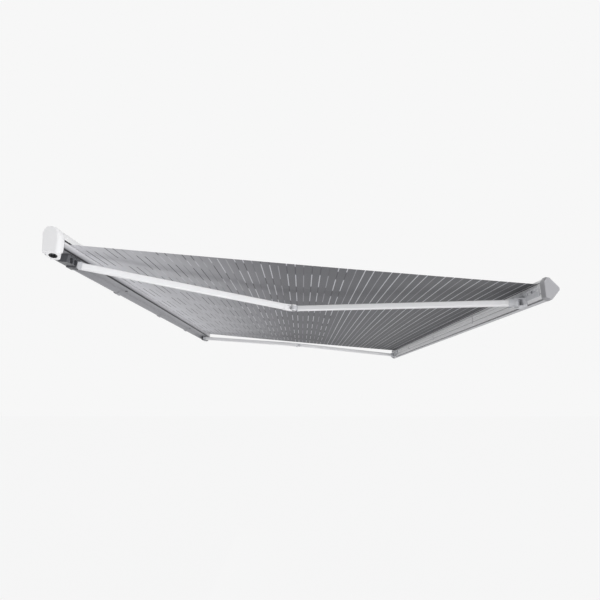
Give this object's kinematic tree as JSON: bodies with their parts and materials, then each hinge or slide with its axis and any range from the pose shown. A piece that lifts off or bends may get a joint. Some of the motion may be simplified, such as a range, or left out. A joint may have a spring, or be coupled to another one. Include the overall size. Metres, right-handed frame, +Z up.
{
  "type": "folding arm awning",
  "caption": "Wall-mounted cassette awning with a wide striped canvas, held out by folding arms and a slim front bar.",
  "frame": {"origin": "middle of the centre wall bracket's back face, on the wall plane", "axes": "+X along the wall, with the crank end at -X; the awning projects towards -Y; +Z is up"},
  "size_m": [4, 3, 0.4558],
  "materials": {
    "white_coat": "satin white powder coat on extruded aluminium",
    "cast_metal": "fine cast, light grey",
    "grey_coat": "satin grey powder coat on extruded aluminium",
    "cap_grey": "moulded end caps, light grey",
    "dark_bracket": "dark grey coat on cast aluminium",
    "steel": "zinc plated",
    "canvas": "woven acrylic canvas, dark grey with thin light and dark dashed stripes",
    "black_trim": "matt"
  },
  "bodies": {
    "cassette": {"lid_profile": "white_coat", "end_cap_left": "white_coat", "end_cap_right": "white_coat", "gear_case": "cast_metal", "shoulder_bracket_left": "dark_bracket", "shoulder_bracket_right": "dark_bracket", "wall_bracket_left": "steel", "wall_bracket_centre": "steel", "wall_bracket_right": "steel", "end_plate_left": "steel", "shoulder_pin_left": "steel", "shoulder_bolt_left_1": "steel", "shoulder_bolt_left_2": "steel", "end_plate_right": "steel", "shoulder_pin_right": "steel", "shoulder_bolt_right_1": "steel", "shoulder_bolt_right_2": "steel", "canvas": "canvas", "brush_strip": "black_trim", "eye_bush": "black_trim", "back_profile": "grey_coat", "bracket_clip_left": "grey_coat", "bracket_clip_centre": "grey_coat", "bracket_clip_right": "grey_coat"},
    "roller": {"roller_tube": "steel", "fabric_roll": "canvas", "roller_plug_left": "cast_metal", "roller_plug_right": "cast_metal"},
    "winding_eye": {"winding_eye": "steel"},
    "front_bar": {"front_bar": "white_coat", "bar_cap_left": "cap_grey", "bar_cap_right": "cap_grey", "bar_rib_1": "white_coat", "bar_rib_2": "white_coat", "bar_rib_3": "white_coat", "wrist_bracket_left": "cast_metal", "wrist_bracket_right": "cast_metal", "wrist_pin_left": "steel", "wrist_bolt_left_1": "steel", "wrist_bolt_left_2": "steel", "wrist_pin_right": "steel", "wrist_bolt_right_1": "steel", "wrist_bolt_right_2": "steel", "keder_rod": "black_trim"},
    "upper_arm_left": {"shoulder_knuckle_left": "cast_metal", "upper_arm_left": "white_coat", "elbow_fork_left": "white_coat", "elbow_pin_left": "steel"},
    "forearm_left": {"elbow_tongue_left": "cast_metal", "forearm_left": "white_coat", "wrist_knuckle_left": "cast_metal"},
    "upper_arm_right": {"shoulder_knuckle_right": "cast_metal", "upper_arm_right": "white_coat", "elbow_fork_right": "white_coat", "elbow_pin_right": "steel"},
    "forearm_right": {"elbow_tongue_right": "cast_metal", "forearm_right": "white_coat", "wrist_knuckle_right": "cast_metal"}
  },
  "joints": [
    {"name": "shoulder_left", "type": "hinge", "parent": "cassette", "child": "upper_arm_left", "pos_m": [-1.76, -0.075, -0.07297], "axis": [0, -0.0896, 0.996], "range_deg": [0, 67.9], "deforming": ["canvas"]},
    {"name": "elbow_left", "type": "hinge", "parent": "upper_arm_left", "child": "forearm_left", "pos_m": [-1.21576, -1.46891, -0.23859], "axis": [0, -0.0896, 0.996], "range_deg": [-135.82, 0]},
    {"name": "wrist_left", "type": "hinge", "parent": "forearm_left", "child": "front_bar", "pos_m": [-1.76, -2.87, -0.32452], "axis": [0, -0.0896, 0.996], "range_deg": [0, 67.91]},
    {"name": "shoulder_right", "type": "hinge", "parent": "cassette", "child": "upper_arm_right", "pos_m": [1.76, -0.075, -0.07297], "axis": [0, -0.0896, 0.996], "range_deg": [-67.91, 0]},
    {"name": "elbow_right", "type": "hinge", "parent": "upper_arm_right", "child": "forearm_right", "pos_m": [1.21576, -1.46891, -0.23859], "axis": [0, -0.0896, 0.996], "range_deg": [0, 135.82]},
    {"name": "roller_spin", "type": "hinge", "parent": "cassette", "child": "roller", "pos_m": [0, -0.057, 0.008], "axis": [1, 0, 0], "continuous": true},
    {"name": "winding_eye_spin", "type": "hinge", "parent": "cassette", "child": "winding_eye", "pos_m": [-1.968, -0.06, -0.0685], "axis": [0, 0, 1], "continuous": true}
  ],
  "couplings": [
    {"joint": "elbow_left", "follows": "shoulder_left", "ratio": -2},
    {"joint": "wrist_left", "follows": "shoulder_left", "ratio": 1},
    {"joint": "shoulder_right", "follows": "shoulder_left", "ratio": -1},
    {"joint": "elbow_right", "follows": "shoulder_left", "ratio": 2},
    {"joint": "winding_eye_spin", "follows": "roller_spin", "ratio": 4.4}
  ]
}
